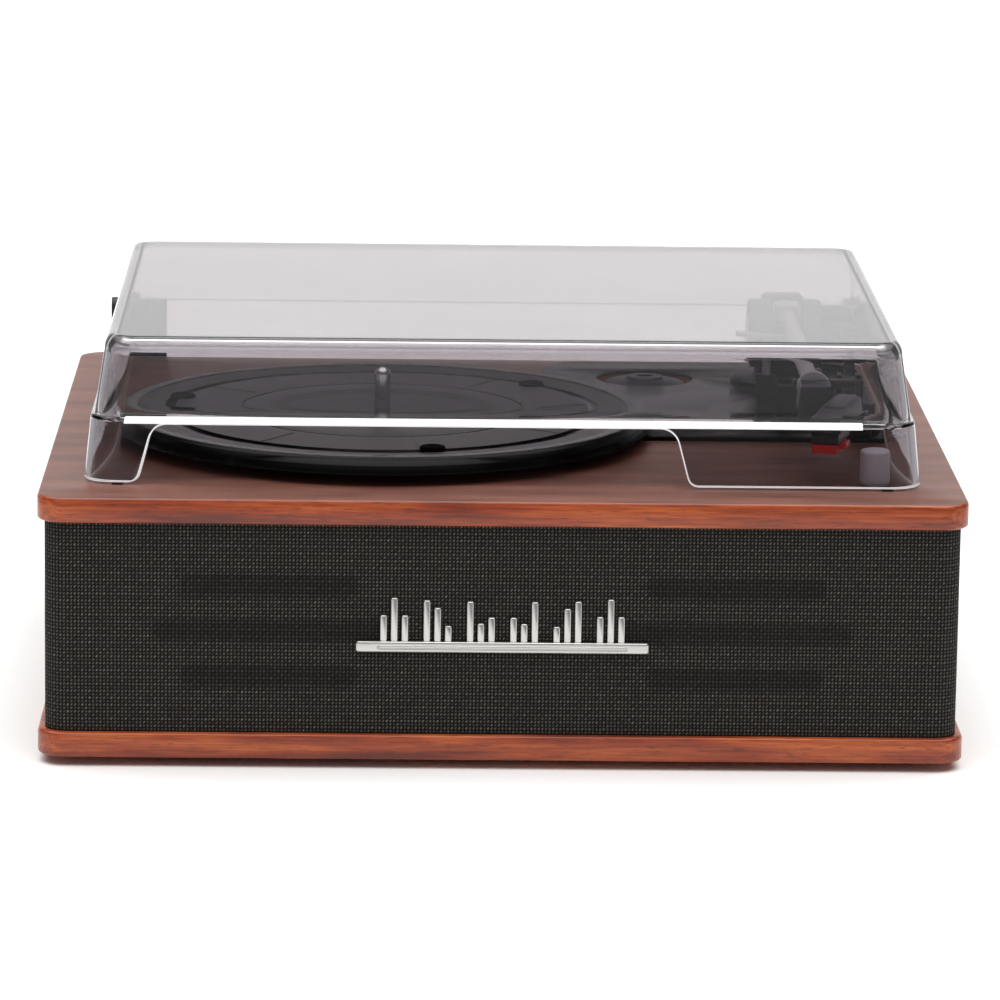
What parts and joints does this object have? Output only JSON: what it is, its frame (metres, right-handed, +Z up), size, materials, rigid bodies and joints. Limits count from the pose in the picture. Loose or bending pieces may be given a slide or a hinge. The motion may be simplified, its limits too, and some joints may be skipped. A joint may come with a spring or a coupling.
{
  "type": "turntable record player",
  "caption": "Belt-drive record player with built-in speakers: wooden cabinet with a cloth grille, platter, offset-head tonearm, volume knob and a hinged clear dust cover with a front arch.",
  "frame": {"origin": "middle of the footprint, on the surface that the rubber feet stand on", "axes": "+X to the right seen from the front, +Y to the back, +Z up"},
  "size_m": [0.4, 0.357, 0.1815],
  "materials": {
    "wood": "satin veneer",
    "raw_board": "painted fibreboard",
    "pine_block": "raw",
    "grille": "woven",
    "badge_metal": "satin",
    "foot_rubber": "matte",
    "screw_steel": "zinc plated",
    "deck_plastic": "gloss black",
    "motor_can": "drawn",
    "bush_brass": "turned",
    "belt_rubber": "ground",
    "arm_plastic": "satin black",
    "arm_grey": "satin light grey",
    "board_green": "solder mask",
    "part_dark": "moulded",
    "jack_white": "moulded",
    "jack_red": "moulded",
    "jack_black": "moulded",
    "speaker_steel": "pressed steel",
    "cone_paper": "pulp cone",
    "magnet_ferrite": "ferrite",
    "hinge_plastic": "moulded black",
    "platter_plastic": "moulded, sparked texture",
    "pad_rubber": "matte",
    "spindle_steel": "polished",
    "head_plastic": "satin",
    "cartridge_plastic": "satin",
    "stylus_red": "translucent red",
    "knob_aluminium": "turned and anodised",
    "lever_plastic": "satin",
    "adapter_plastic": "satin",
    "cover_acrylic": "clear, smoke tinted",
    "bumper_rubber": "matte"
  },
  "bodies": {
    "cabinet": {"bottom_panel": "wood", "top_panel": "wood", "front_baffle": "raw_board", "left_side_wall": "raw_board", "right_side_wall": "raw_board", "rear_wall": "raw_board", "corner_posts": "pine_block", "grille_cloth": "grille", "badge_bar": "badge_metal", "badge_emblem": "badge_metal", "rubber_feet": "foot_rubber", "wood_screws": "screw_steel", "control_plate": "deck_plastic", "drive_motor": "motor_can", "motor_screws": "screw_steel", "bearing_bush": "bush_brass", "drive_belt": "belt_rubber", "tonearm_base": "arm_plastic", "arm_rest": "arm_plastic", "cue_guide": "arm_plastic", "main_board": "board_green", "board_parts": "part_dark", "volume_pot": "part_dark", "rear_jack_plate": "jack_black", "rca_jack_left": "jack_white", "rca_jack_right": "jack_red", "aux_jack": "jack_black", "dc_jack": "jack_black", "speaker_frame_left": "speaker_steel", "speaker_frame_right": "speaker_steel", "speaker_cone_left": "cone_paper", "speaker_cone_right": "cone_paper", "speaker_magnet_left": "magnet_ferrite", "speaker_magnet_right": "magnet_ferrite", "hinge_base_left": "hinge_plastic", "hinge_base_right": "hinge_plastic"},
    "platter": {"platter": "platter_plastic", "platter_pads": "pad_rubber", "spindle": "spindle_steel", "spindle_clip": "screw_steel"},
    "pulley": {"motor_pulley": "bush_brass", "motor_shaft": "spindle_steel"},
    "arm_swivel": {"arm_yoke": "arm_plastic"},
    "tonearm": {"arm_tube": "arm_grey", "counterweight": "arm_plastic", "headshell": "head_plastic", "cartridge": "cartridge_plastic", "stylus": "stylus_red", "pivot_pins": "spindle_steel"},
    "volume_knob": {"volume_knob": "knob_aluminium"},
    "speed_lever": {"speed_lever": "lever_plastic"},
    "autostop_lever": {"autostop_lever": "lever_plastic"},
    "cue_lever": {"cue_lever": "lever_plastic"},
    "cue_platform": {"cue_platform": "arm_grey"},
    "adapter_45": {"adapter_45": "adapter_plastic"},
    "cover": {"dust_cover": "cover_acrylic", "hinge_leaves": "hinge_plastic", "hinge_pins": "screw_steel", "cover_bumpers": "bumper_rubber"}
  },
  "joints": [
    {"name": "platter_spin", "type": "hinge", "parent": "cabinet", "child": "platter", "pos_m": [-0.0526, -0.029, 0.13], "axis": [0, 0, -1], "continuous": true},
    {"name": "pulley_spin", "type": "hinge", "parent": "cabinet", "child": "pulley", "pos_m": [-0.1127, 0.0311, 0.12], "axis": [0, 0, -1], "continuous": true},
    {"name": "arm_swing", "type": "hinge", "parent": "cabinet", "child": "arm_swivel", "pos_m": [0.139, 0.105, 0.13], "axis": [0, 0, -1], "range_deg": [0, 41]},
    {"name": "arm_lift", "type": "hinge", "parent": "arm_swivel", "child": "tonearm", "pos_m": [0.139, 0.105, 0.15], "axis": [-1, 0, 0], "range_deg": [0, 5]},
    {"name": "volume_turn", "type": "hinge", "parent": "cabinet", "child": "volume_knob", "pos_m": [0.1623, -0.134, 0.126], "axis": [0, 0, -1], "range_deg": [0, 300]},
    {"name": "speed_slide", "type": "slide", "parent": "cabinet", "child": "speed_lever", "axis": [0, 1, 0], "range_m": [0, 0.016]},
    {"name": "autostop_slide", "type": "slide", "parent": "cabinet", "child": "autostop_lever", "axis": [0, 1, 0], "range_m": [0, 0.01]},
    {"name": "cue_turn", "type": "hinge", "parent": "cabinet", "child": "cue_lever", "pos_m": [0.166, 0.062, 0.128], "axis": [1, 0, 0], "range_deg": [0, 70]},
    {"name": "cue_drop", "type": "slide", "parent": "cabinet", "child": "cue_platform", "axis": [0, 0, -1], "range_m": [0, 0.004]},
    {"name": "adapter_lift", "type": "slide", "parent": "cabinet", "child": "adapter_45", "axis": [0, 0, 1], "range_m": [0, 0.03]},
    {"name": "cover_hinge", "type": "hinge", "parent": "cabinet", "child": "cover", "pos_m": [0, 0.1735, 0.141], "axis": [-1, 0, 0], "range_deg": [0, 70]}
  ],
  "couplings": [
    {"joint": "pulley_spin", "follows": "platter_spin", "ratio": 10.545},
    {"joint": "cue_drop", "follows": "cue_turn", "m_per_rad": 0.003274}
  ]
}
